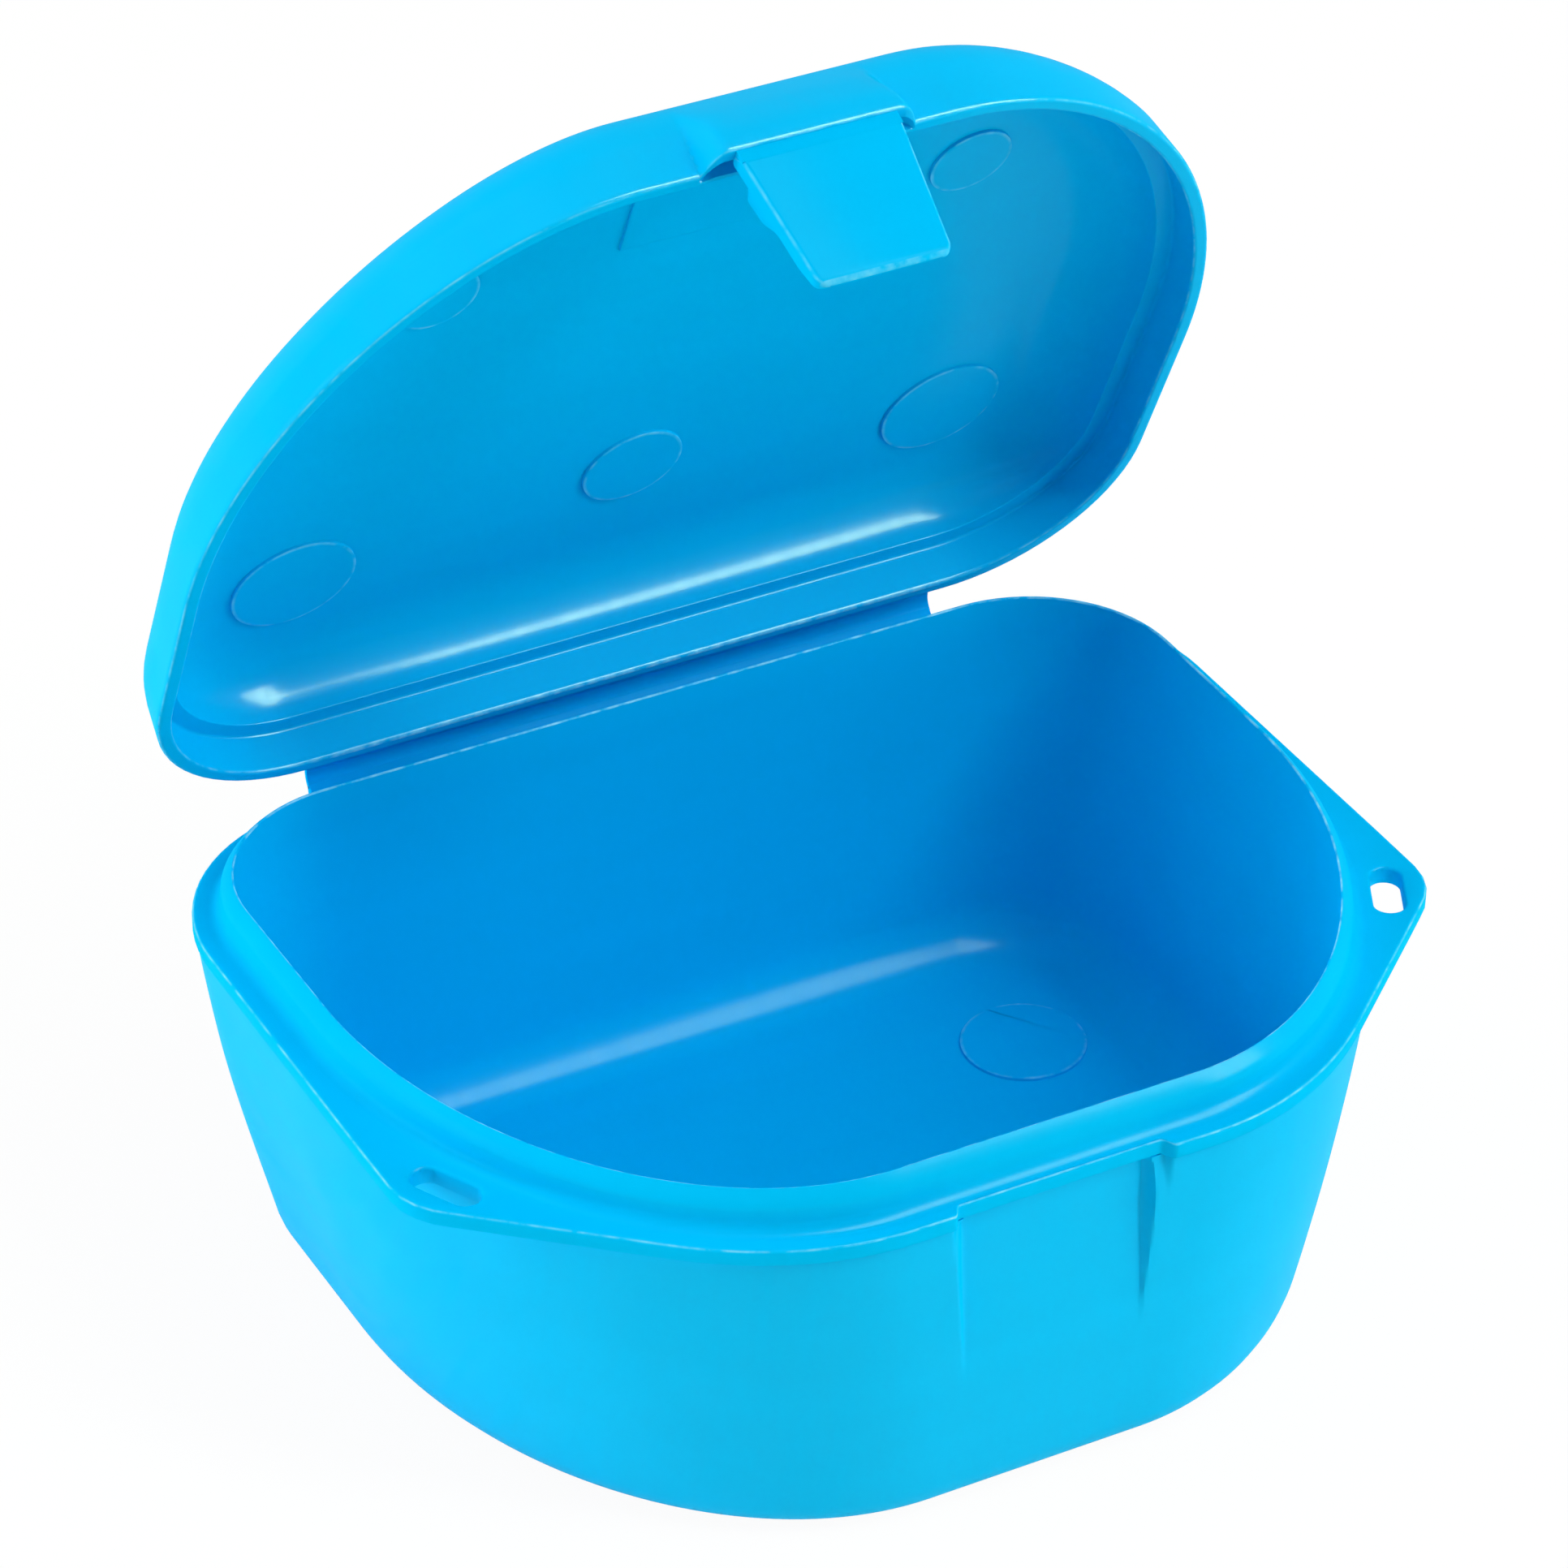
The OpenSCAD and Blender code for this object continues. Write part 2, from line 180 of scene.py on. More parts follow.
def panel_depth(x, z):
    """How far the panel lies behind the wall, with sides that slope out softly."""
    top = case_d / 2 + wall_out - panel_in
    foot = front_wall(panel_low)
    deep = front_wall(z) - foot - (top - foot) * (z - panel_low) / (flange_low - panel_low)
    if deep <= 0 or z <= panel_low:
        return 0
    deep += (panel_top - deep) * ease(flange_low - panel_round, flange_low + panel_round, z)
    beside, slope = (x - panel_right, right_slope) if x > 0 else (panel_left - x, left_slope)
    deep *= 1 - ease(0, slope * deep, beside)
    under_notch = 1 - ease(recess_half, recess_half + panel_top, abs(x))
    return max(deep, panel_top * ease(recess_low, flange_low, z) * under_notch)


# Behind the ears the wall swells until it is flush with the flange
flare_out = 0.33 * mm
flare_low = 2 * mm
flare_high = 17 * mm
flare_front = -12 * mm
flare_back = -4 * mm


def outer_wall(drawn_in, z):
    """Ring on the outside of the wall, with the panel let in."""
    grown = wall_out + belly(z) - drawn_in
    flared = grown + flare_out * ease(flare_low, flare_high, z)
    ring = []
    for p, q in zip(tub_plan(grown, z), tub_plan(flared, z)):
        p = p.lerp(q, ease(flare_front, flare_back, p.y))
        ring.append(Vector((p.x, p.y + panel_depth(p.x, z) * (p.y < 0), z)))
    return ring


def inner_wall(drawn_in, z):
    """Ring on the inside of the wall."""
    deep = 1 - z / flange_z
    grown = (wall_out - tub_wall + collar_t) * deep - collar_t + belly(z)
    return at_height(tub_plan(grown - drawn_in, z), z)


# Ears for a neck cord stand out of the flange on both sides, and the notch lets the latch through
ear_x = 32.2 * mm
ear_y = -10.6 * mm
ear_r = 4.9 * mm
notch_half = 7.5 * mm
notch_round = 0.38 * mm
notch_y = -28.5 * mm
outline_steps = 720


def flange_outline():
    """Tightest band round the flange and both ears, one point for each column, with the notch cut in."""
    plan = case_plan(flange_out, [0] * len(tub_lean))
    reach = []
    for i in range(outline_steps):
        turn = 2 * math.pi * i / outline_steps
        way = Vector((math.cos(turn), math.sin(turn)))
        ear = ear_x * abs(way.x) + ear_y * way.y + ear_r
        reach.append((way, max(ear, max(way.dot(p) for p in plan))))
    band = []
    for p in plan:
        p = p * min(span / way.dot(p) for way, span in reach if way.dot(p) > p.length / 2)
        if p.y < notch_y:
            beside = ease(notch_half - notch_round, notch_half + notch_round, abs(p.x))
            p.y += (notch_y - p.y) * (1 - beside)
        band.append(p)
    return band


flange_band = flange_outline()


def flange_ring(drawn_in, z):
    """Ring on the flange's edge."""
    return [Vector((p.x, p.y, 0)) * (1 - drawn_in / p.length) + Vector((0, 0, z)) for p in flange_band]


fillet_steps = 7
wall_steps = 22
wall_top = flange_low - panel_round
# Strengths of the pale edge line, a painted highlight broken like wear
no_edge = 0
soft_edge = 0.5
worn_highlight_edge = 0.75
full_edge = 1
lip_steps = 8
under_steps = 2
edge_steps = 4
middle_step = edge_steps // 2
tub_levels = []
for s, c in quarter(fillet_steps):
    tub_levels.append((outer_wall(base_edge_r * (1 - s), base_edge_r * (1 - c)), no_edge))
for i in range(1, wall_steps + 1):
    tub_levels.append((outer_wall(0, base_edge_r + (wall_top - base_edge_r) * i / wall_steps), no_edge))
for i in range(1, edge_steps + 1):
    tub_levels.append((outer_wall(0, wall_top + (flange_low - wall_top) * i / edge_steps), no_edge))
for s, c in quarter(under_steps):
    under_z = flange_low + flange_edge_r * (1 - c)
    tub_levels.append((flange_ring(flange_edge_r * (1 - s), under_z), no_edge))
# The middle ring of the flange's top edge gets a pale line, a painted highlight broken like wear
for i, (s, c) in enumerate(quarter(edge_steps)):
    edge = worn_highlight_edge if i == middle_step else no_edge
    over_z = flange_z - flange_edge_r * (1 - s)
    tub_levels.append((flange_ring(flange_edge_r * (1 - c), over_z), edge))
tub_levels.append((flange_ring(2 * flange_edge_r, flange_z), no_edge))
for s, c in quarter(fillet_steps):
    foot_z = flange_z + collar_foot_r * (1 - c)
    tub_levels.append((at_height(tub_plan(collar_foot_r * (1 - s), foot_z), foot_z), no_edge))
for i in range(lip_steps + 1):
    share = i / lip_steps
    lip_z = tub_h - lip_h * (1 - share)
    tub_levels.append((at_height(tub_plan(-lip_w * share ** lip_curve, lip_z), lip_z), no_edge))
# The lip's edge turns inwards, so here the cosine comes first. Its rounded rings get the full pale line, a
# painted highlight broken like wear
for i, (c, s) in enumerate(quarter(edge_steps)):
    edge = full_edge if 0 < i < edge_steps else no_edge
    lip_z = tub_h - lip_edge_r * (1 - s)
    tub_levels.append((at_height(tub_plan(lip_edge_r * (1 - c) - collar_t, lip_z), lip_z), edge))
wall_foot = tub_floor + floor_r
for i in range(wall_steps):
    tub_levels.append((inner_wall(0, flange_z + (wall_foot - flange_z) * i / wall_steps), no_edge))
for s, c in quarter(fillet_steps):
    tub_levels.append((inner_wall(floor_r * (1 - c), wall_foot - floor_r * s), no_edge))


def lay_ring(piece, level):
    """Moves the ring that is selected to its level, and notes how much of an edge it is."""
    points, edge = level
    skin = bmesh.from_edit_mesh(piece.data)
    column = skin.verts.layers.int["column"]
    rim = skin.verts.layers.float["edge"]
    for vertex in skin.verts:
        if vertex.select:
            vertex.co = points[vertex[column]]
            vertex[rim] = edge
    bmesh.update_edit_mesh(piece.data)


def draw_skin(name, levels, band=0):
    """Draws a closed skin ring by ring from a circle, with flat ends that may have a band round them."""
    bpy.ops.object.select_all(action="DESELECT")
    bpy.ops.mesh.primitive_circle_add(vertices=len(levels[0][0]), radius=case_w / 2)
    piece = bpy.context.object
    piece.name = name
    piece.data.name = name
    bpy.ops.object.mode_set(mode="EDIT")
    skin = bmesh.from_edit_mesh(piece.data)
    column = skin.verts.layers.int.new("column")
    skin.verts.layers.float.new("edge")
    for i, vertex in enumerate(skin.verts):
        vertex[column] = i
    lay_ring(piece, levels[0])
    for level in levels[1:]:
        bpy.ops.mesh.extrude_region_move()
        lay_ring(piece, level)
    bpy.ops.mesh.edge_face_add()
    if band:
        bpy.ops.mesh.inset(thickness=band)
    bpy.ops.mesh.select_all(action="DESELECT")
    bpy.ops.mesh.select_non_manifold()
    bpy.ops.mesh.edge_face_add()
    if band:
        bpy.ops.mesh.inset(thickness=band)
    bpy.ops.mesh.select_all(action="SELECT")
    bpy.ops.mesh.normals_make_consistent(inside=False)
    bpy.ops.object.mode_set(mode="OBJECT")
    return piece


def pick_faces(piece, wanted):
    """Selects the faces that pass a test."""
    bpy.ops.mesh.select_all(action="DESELECT")
    skin = bmesh.from_edit_mesh(piece.data)
    for face in skin.faces:
        face.select_set(wanted(face))
    bmesh.update_edit_mesh(piece.data)


def pick_edges(piece, wanted):
    """Selects the edges that pass a test."""
    bpy.ops.mesh.select_all(action="DESELECT")
    skin = bmesh.from_edit_mesh(piece.data)
    for edge in skin.edges:
        edge.select_set(wanted(edge))
    bmesh.update_edit_mesh(piece.data)


def combine(piece, tool, way):
    """Joins a solid to a piece or cuts it out of the piece."""
    change = piece.modifiers.new("change", "BOOLEAN")
    change.object = tool
    change.operation = way
    change.solver = "EXACT"
    bpy.context.view_layer.objects.active = piece
    bpy.ops.object.modifier_apply(modifier=change.name)
    bpy.data.objects.remove(tool)


mark_sides = 72
mark_depth = 0.6 * mm
mark_round = 0.08 * mm
mark_proud = 0.22 * mm
mark_band = 0.2 * mm
mark_rim = 0.12 * mm
# Strength of the pale line round a mark's rim, a painted highlight
mark_rim_highlight = 0.4
mark_segments = 2
flat_enough = 0.99


def soften_face(tool, facing):
    """Rounds the edge of the face that looks up or down, and keeps the rest of it flat."""
    def faces_out(face):
        """Whether a face looks that way."""
        return face.normal.z * facing > flat_enough

    bpy.ops.object.mode_set(mode="EDIT")
    pick_faces(tool, faces_out)
    bpy.ops.mesh.bevel(offset=mark_round, segments=mark_segments, affect="EDGES")
    pick_faces(tool, faces_out)
    bpy.ops.mesh.inset(thickness=mark_band)
    bpy.ops.object.mode_set(mode="OBJECT")


def raise_mark(piece, x, y, radius, face_z, facing):
    """Raises a round ejector mark with a softened edge on a face that looks up or down."""
    bpy.ops.object.select_all(action="DESELECT")
    place = (x, y, face_z + facing * (mark_proud - mark_depth / 2))
    bpy.ops.mesh.primitive_cylinder_add(
        vertices=mark_sides, radius=radius, depth=mark_depth, location=place
    )
    tool = bpy.context.object
    soften_face(tool, facing)
    combine(piece, tool, "UNION")


def highlight_mark_rim(piece, x, y, radius, face_z, facing):
    """Notes the rim of a round mark as an edge with a pale painted highlight, once the piece is cut and
    joined.
    """
    top = face_z + facing * mark_proud
    for vertex, edge in zip(piece.data.vertices, piece.data.attributes["edge"].data):
        inward = radius - math.dist(vertex.co.xy, (x, y))
        if inward > -mark_round:
            on_rim = inward < mark_rim and abs(vertex.co.z - top) < mark_round / 2
            edge.value = mark_rim_highlight if on_rim else no_edge


tub = draw_skin("tub_shell", tub_levels, cap_band)
floor_mark_x = 21.4 * mm
floor_mark_y = 12.3 * mm
floor_mark_r = 4.4 * mm
for side in (-1, 1):
    raise_mark(tub, side * floor_mark_x, floor_mark_y, floor_mark_r, tub_floor, 1)

slot_x = 33.95 * mm
slot_y = -12.2 * mm
slot_w = 2.1 * mm
slot_l = 5 * mm
slot_turn = math.radians(27)
slot_sides = 50
slot_deep = 2.7 * mm
slot_round = 0.22 * mm
slot_segments = 3
for side in (-1, 1):
    bpy.ops.object.select_all(action="DESELECT")
    bpy.ops.mesh.primitive_cylinder_add(vertices=slot_sides, radius=slot_w / 2, depth=slot_deep)
    punch = bpy.context.object
    bpy.ops.object.mode_set(mode="EDIT")
    for end in (-1, 1):
        pick_edges(punch, lambda edge: all(v.co.y * end > 0 for v in edge.verts))
        bpy.ops.transform.translate(value=(0, end * (slot_l - slot_w) / 2, 0))
    bpy.ops.object.mode_set(mode="OBJECT")
    punch.location = (side * slot_x, slot_y, flange_z)
    punch.rotation_euler.z = -side * slot_turn
    combine(tub, punch, "DIFFERENCE")

slot_reach = slot_l / 2 + slot_round
sharp_angle = math.radians(60)


def on_slot(edge):
    """Whether an edge runs round the mouth of a cord slot."""
    if len(edge.link_faces) != 2 or edge.calc_face_angle() < sharp_angle:
        return False
    if min(v.co.z for v in edge.verts) < (flange_low + flange_z) / 2:
        return False
    return all(math.dist((abs(v.co.x), v.co.y), (slot_x, slot_y)) < slot_reach for v in edge.verts)


bpy.ops.object.mode_set(mode="EDIT")
pick_edges(tub, on_slot)
bpy.ops.mesh.bevel(offset=slot_round, segments=slot_segments, affect="EDGES")
bpy.ops.object.mode_set(mode="OBJECT")
for side in (-1, 1):
    highlight_mark_rim(tub, side * floor_mark_x, floor_mark_y, floor_mark_r, tub_floor, 1)

# Hands rub the outside of the walls, below the flange, brighter than the inside
hand_rubbed = tub.data.attributes.new("outside", "FLOAT", "POINT")
for vertex, share in zip(tub.data.vertices, hand_rubbed.data):
    outward = Vector((vertex.co.x, vertex.co.y, 0)).normalized()
    share.value = max(0, vertex.normal.dot(outward)) if vertex.co.z < flange_low else 0

pigment_blue = (0.0, 0.473, 0.85, 1)
# Pale blue of the edge lines: a painted highlight, broken like wear
worn_highlight_blue = (0.3, 0.8, 0.95, 1)


def add_node(tree, kind, **settings):
    """Adds a node with its settings."""
    node = tree.nodes.new(kind)
    for name, value in settings.items():
        setattr(node, name, value)
    return node


def noise(tree, where, scale, detail):
    """Adds a noise texture at a scale given in grains per metre."""
    node = add_node(tree, "ShaderNodeTexNoise")
    node.inputs["Scale"].default_value = scale
    node.inputs["Detail"].default_value = detail
    tree.links.new(where, node.inputs["Vector"])
    return node.outputs["Fac"]


noise_low = 0.3
noise_high = 0.7


def spread(tree, value, low, high):
    """Maps the range in which most of a noise lies to low and high."""
    node = add_node(tree, "ShaderNodeMapRange")
    node.inputs["From Min"].default_value = noise_low
    node.inputs["From Max"].default_value = noise_high
    node.inputs["To Min"].default_value = low
    node.inputs["To Max"].default_value = high
    tree.links.new(value, node.inputs["Value"])
    return node.outputs["Result"]


def times(tree, first, second):
    """Multiplies two values, of which the second may be a plain number."""
    node = add_node(tree, "ShaderNodeMath", operation="MULTIPLY")
    tree.links.new(first, node.inputs[0])
    if isinstance(second, float):
        node.inputs[1].default_value = second
    else:
        tree.links.new(second, node.inputs[1])
    return node.outputs[0]


def plus(tree, first, second):
    """Adds two values."""
    node = add_node(tree, "ShaderNodeMath", operation="ADD")
    tree.links.new(first, node.inputs[0])
    tree.links.new(second, node.inputs[1])
    return node.outputs[0]


# Grains per metre of the clouds, flow lines, fine scratches, grain, slow waves and broken wear, which also
# breaks the painted edge highlight
cloud_grain = 60
flow_grain = 260
brush_grain = 2600
skin_grain = 5200
wave_grain = 110
break_grain = 900
# How these are stretched, and how far they change the tone, the wear with its painted highlight, gloss,
# polish and height
flow_stretch = (0.15, 1, 1)
brush_stretch = (1, 0.08, 0.08)
tone_range = (0.985, 1.01)
wear_highlight_range = (-0.2, 0.9)
gloss_range = (-0.015, 0.02)
polish_range = (0.75, 1.1)
rubbed_polish = 0.11
worn_matt = 0.15
grain_height = 0.015
wave_height = 0.5
worn_height = 0.4


def make_moulded_skin():
    """Node group for moulded plastic: pigment clouds, flow lines, fine grain and pale worn edges that also
    carry a painted highlight.
    """
    tree = bpy.data.node_groups.new("moulded_skin", "ShaderNodeTree")
    face = tree.interface
    face.new_socket("Pigment", in_out="INPUT", socket_type="NodeSocketColor")
    face.new_socket("Highlight", in_out="INPUT", socket_type="NodeSocketColor")
    face.new_socket("Gloss", in_out="INPUT", socket_type="NodeSocketFloat")
    face.new_socket("Polish", in_out="INPUT", socket_type="NodeSocketFloat")
    face.new_socket("Colour", in_out="OUTPUT", socket_type="NodeSocketColor")
    face.new_socket("Roughness", in_out="OUTPUT", socket_type="NodeSocketFloat")
    face.new_socket("Shine", in_out="OUTPUT", socket_type="NodeSocketFloat")
    face.new_socket("Height", in_out="OUTPUT", socket_type="NodeSocketFloat")
    inside = add_node(tree, "NodeGroupInput")
    outside = add_node(tree, "NodeGroupOutput")
    where = add_node(tree, "ShaderNodeTexCoord").outputs["Object"]
    flow_map = add_node(tree, "ShaderNodeMapping")
    flow_map.inputs["Scale"].default_value = flow_stretch
    tree.links.new(where, flow_map.inputs["Vector"])
    brush_map = add_node(tree, "ShaderNodeMapping")
    brush_map.inputs["Scale"].default_value = brush_stretch
    tree.links.new(where, brush_map.inputs["Vector"])
    clouds = noise(tree, where, cloud_grain, detail=2)
    brush = noise(tree, brush_map.outputs["Vector"], brush_grain, detail=2)
    flow = noise(tree, flow_map.outputs["Vector"], flow_grain, detail=2)
    grain = noise(tree, where, skin_grain, detail=1)
    waves = noise(tree, where, wave_grain, detail=1)
    breaks = noise(tree, where, break_grain, detail=3)
    shade = times(tree, spread(tree, clouds, *tone_range), spread(tree, flow, *tone_range))
    tone = add_node(tree, "ShaderNodeVectorMath", operation="SCALE")
    tree.links.new(inside.outputs["Pigment"], tone.inputs[0])
    tree.links.new(shade, tone.inputs["Scale"])
    # The edge attribute mixes the pale colour in: a painted highlight along the edges, broken by noise like
    # wear
    rim = add_node(tree, "ShaderNodeAttribute", attribute_name="edge")
    wear_and_highlight = times(tree, rim.outputs["Fac"], spread(tree, breaks, *wear_highlight_range))
    mix = add_node(tree, "ShaderNodeMix", data_type="RGBA")
    tree.links.new(wear_and_highlight, mix.inputs["Factor"])
    tree.links.new(tone.outputs["Vector"], mix.inputs["A"])
    tree.links.new(inside.outputs["Highlight"], mix.inputs["B"])
    tree.links.new(mix.outputs["Result"], outside.inputs["Colour"])
    matt = plus(tree, spread(tree, flow, *gloss_range), inside.outputs["Gloss"])
    tree.links.new(plus(tree, matt, times(tree, wear_and_highlight, worn_matt)), outside.inputs["Roughness"])
    rubbed = add_node(tree, "ShaderNodeAttribute", attribute_name="outside")
    polish = plus(tree, times(tree, rubbed.outputs["Fac"], rubbed_polish), inside.outputs["Polish"])
    tree.links.new(times(tree, spread(tree, brush, *polish_range), polish), outside.inputs["Shine"])
    height = plus(tree, times(tree, grain, grain_height), times(tree, waves, wave_height))
    rough = times(tree, times(tree, breaks, rim.outputs["Fac"]), worn_height)
    tree.links.new(plus(tree, height, rough), outside.inputs["Height"])
    return tree


moulded_skin = make_moulded_skin()
coat_roughness = 0.2
bump_strength = 0.35
bump_depth = 0.1 * mm


def make_plastic(name, pigment, highlight_colour, gloss, polish):
    """Semi-gloss polypropylene with the moulded skin's own pigment, gloss and polish."""
    plastic = bpy.data.materials.new(name)
    plastic.use_nodes = True
    tree = plastic.node_tree
    shader = tree.nodes["Principled BSDF"]
    shader.inputs["Specular IOR Level"].default_value = 0
    shader.inputs["Coat Roughness"].default_value = coat_roughness
    skin = add_node(tree, "ShaderNodeGroup", node_tree=moulded_skin)
    skin.inputs["Pigment"].default_value = pigment
    skin.inputs["Highlight"].default_value = highlight_colour
    skin.inputs["Gloss"].default_value = gloss
    skin.inputs["Polish"].default_value = polish
    bump = add_node(tree, "ShaderNodeBump")
    bump.inputs["Strength"].default_value = bump_strength
    bump.inputs["Distance"].default_value = bump_depth
    tree.links.new(skin.outputs["Height"], bump.inputs["Height"])
    tree.links.new(skin.outputs["Colour"], shader.inputs["Base Color"])
    tree.links.new(skin.outputs["Roughness"], shader.inputs["Roughness"])
    tree.links.new(skin.outputs["Shine"], shader.inputs["Coat Weight"])
    tree.links.new(bump.outputs["Normal"], shader.inputs["Normal"])
    return plastic


case_gloss = 0.22
case_polish = 0.02
case_plastic = make_plastic("case_plastic", pigment_blue, worn_highlight_blue, case_gloss, case_polish)
smooth_angle = math.radians(40)
merge_gap = 0.001 * mm


def finish_piece(piece, plastic):
    """Merges doubled points, smooths the skin and gives the piece its plastic."""
    bpy.ops.object.select_all(action="DESELECT")
    piece.select_set(True)
    bpy.context.view_layer.objects.active = piece
    bpy.ops.object.mode_set(mode="EDIT")
    bpy.ops.mesh.select_all(action="SELECT")
    bpy.ops.mesh.remove_doubles(threshold=merge_gap)
    bpy.ops.object.mode_set(mode="OBJECT")
    bpy.ops.object.shade_smooth_by_angle(angle=smooth_angle)
    piece.data.materials.clear()
    piece.data.materials.append(plastic)


finish_piece(tub, case_plastic)
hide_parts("tub")
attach(tub, "tub_body")


# Hinge strap. A flat web of the same polypropylene along the back, moulded to the flange below and to
# the lid's skirt above. Its two leaves narrow to a thin film on the fold line, which is flexed while it
# is still warm and then stands many folds.
strap_half = 23.5 * mm
strap_t = 0.8 * mm
film_t = 0.32 * mm
film_reach = 0.7 * mm
leaf_bury = 0.25 * mm
leaf_round = 0.1 * mm
leaf_segments = 3
leaf_columns = 1
lid_open = math.radians(65)
hinge = next(joint for joint in frame["joints"] if joint["name"] == "lid_hinge")
fold = Vector(hinge["pos_m"])
flange_back = case_d / 2 + flange_out
rim_z = 25.55 * mm
skirt_out = 1.35 * mm
lid_leaf_up = 1.4 * mm
film_columns = 24


def opened(point):
    """Where a point of the shut lid lies while the lid stands open."""
    return fold + Matrix.Rotation(-lid_open, 3, "X") @ (point - fold)


lower_root = Vector((0, flange_back, (flange_low + flange_z) / 2))
upper_root = opened(Vector((0, case_d / 2 + skirt_out, rim_z + lid_leaf_up)))


def draw_bar(name, outline, half, columns):
    """Draws a bar along X from an outline given in Y and Z, from its left end to its right end."""
    levels = []
    for step in range(columns + 1):
        share = 2 * step / columns - 1
        levels.append(([Vector((share * half, p.y, p.z)) for p in outline], no_edge))
    return draw_skin(name, levels)


def draw_leaf(name, root, inner):
    """Draws a leaf of the strap, flat inside and thinned on its outer side towards the fold."""
    along = (root - fold).normalized()
    tip = fold + film_reach * along
    shoulder = fold + 2 * film_reach * along
    buried = root + leaf_bury * along
    outline = [
        tip + strap_t / 2 * inner,
        buried + strap_t / 2 * inner,
        buried - strap_t / 2 * inner,
        shoulder - strap_t / 2 * inner,
        tip + (strap_t / 2 - film_t) * inner,
    ]
    leaf = draw_bar(name, outline, strap_half, leaf_columns)
    rounding = leaf.modifiers.new("rounding", "BEVEL")
    rounding.width = leaf_round
    rounding.segments = leaf_segments
    rounding.limit_method = "ANGLE"
    bpy.ops.object.modifier_apply(modifier=rounding.name)
    return leaf


lower_way = (lower_root - fold).normalized()
upper_way = (upper_root - fold).normalized()
lower_inner = Vector((0, lower_way.z, -lower_way.y))
upper_inner = Vector((0, -upper_way.z, upper_way.y))
# The strap's blue is darker than the case's pigment: painted shade, for the shadow that the strap lies in
# between the collar and the lid
strap_shade_blue = (0.0, 0.42, 0.88, 1)
film_gloss = 0.15
film_polish = 0.003
film_plastic = make_plastic("film_plastic", strap_shade_blue, worn_highlight_blue, film_gloss, film_polish)

lower_leaf = draw_leaf("strap_lower_leaf", lower_root, lower_inner)
finish_piece(lower_leaf, film_plastic)
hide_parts("tub_hinge_leaf")
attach(lower_leaf, "tub_body")

upper_leaf = draw_leaf("strap_upper_leaf", upper_root, upper_inner)
finish_piece(upper_leaf, film_plastic)
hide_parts("lid_hinge_leaf")
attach(upper_leaf, "lid_body")

film_start = fold + (film_reach + leaf_bury) * lower_way
film_end = fold + (film_reach + leaf_bury) * upper_way
film_steps = 12
film_sink = 0.02 * mm


def film_line(lift):
    """One face of the film at a height over the strap's middle, curved from leaf to leaf."""
    start = film_start + lift * lower_inner
    end = film_end + lift * upper_inner
    bend = fold + lift * (lower_inner + upper_inner) / (1 + lower_inner.dot(upper_inner))
    line = []
    for i in range(film_steps + 1):
        t = i / film_steps
        line.append((1 - t) ** 2 * start + 2 * t * (1 - t) * bend + t ** 2 * end)
    return line


film_inner = strap_t / 2 - film_sink
film_outer = strap_t / 2 - film_t
film_outline = film_line(film_inner) + film_line(film_outer)[::-1]
film = draw_bar("strap_film", film_outline, strap_half, film_columns)
finish_piece(film, film_plastic)
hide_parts("hinge_film")
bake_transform(film, "tub_body", "lid_body", start=tuple(film_start), end=tuple(film_end))


# Lid. A shallow dish of the same shot, with a ledge that drops over the collar and a rounded top edge.
# The skirt swells over the latch into a hollow hood, and ejector marks and a thin pad show inside.
lid_h = 7.85 * mm
lid_top_t = 0.9 * mm
collar_gap = 0.3 * mm
skirt_top = 0.95 * mm
ledge_in = -1.0 * mm
ledge_z = 28.45 * mm
ledge_round = 0.2 * mm
ledge_lip = 0.08 * mm
ceiling_r = 3.7 * mm
ceiling_wide = 4.6 * mm
lid_edge_r = 4.8 * mm
rim_r = 0.25 * mm
lid_z = rim_z + lid_h
ceiling_z = lid_z - lid_top_t
edge_z = lid_z - lid_edge_r
lid_lean = [0, 0.9 * mm, 0, 2.4 * mm, 0, 0.06]
hood_half = 5.9 * mm
hood_fade = 1.5 * mm
hood_out = 2.15 * mm
hood_low = 0.8 * mm
hood_high = 6.4 * mm
hood_drop = 0.12 * mm
hood_taper = 0.15
hollow_deep = 0.9 * mm
hollow_lip = 0.08 * mm


def hood_share(p, up):
    """How much of the hood stands at a place along the front, which narrows upwards."""
    away = min(1, max(0, abs(p.x) - hood_half + hood_taper * up) / hood_fade)
    return (1 - away * away) * (p.y < 0)


def lid_plan(grown, z):
    """Plan of the shut lid at a height, which draws in above the ledge."""
    share = max(0, z - ledge_z) / (lid_z - ledge_z)
    return case_plan(grown, [value * share for value in lid_lean])


def lid_ring(grown, z):
    """Ring on the inside of the lid."""
    return at_height(lid_plan(grown, z), z)


def skirt_ring(grown, z):
    """Ring on the outside of the lid, swollen into the hood at the front."""
    swell = hood_out * (1 - ease(hood_low, hood_high, z - rim_z))
    drop = hood_drop * (1 - ease(0, hood_low, z - rim_z))
    ring = []
    for p in lid_plan(grown, z):
        share = hood_share(p, z - rim_z)
        ring.append(Vector((p.x, p.y - swell * share, z - drop * share)))
    return ring


def rim_ring(grown, hood_grown, hood_up):
    """Ring on the underside of the rim, with the place it moves to under the hood."""
    ring = []
    for p, q in zip(lid_plan(grown, rim_z), lid_plan(hood_grown, rim_z)):
        share = hood_share(p, 0)
        ring.append(Vector((p.x, p.y + (q.y - p.y) * share, rim_z + hood_up * share)))
    return ring


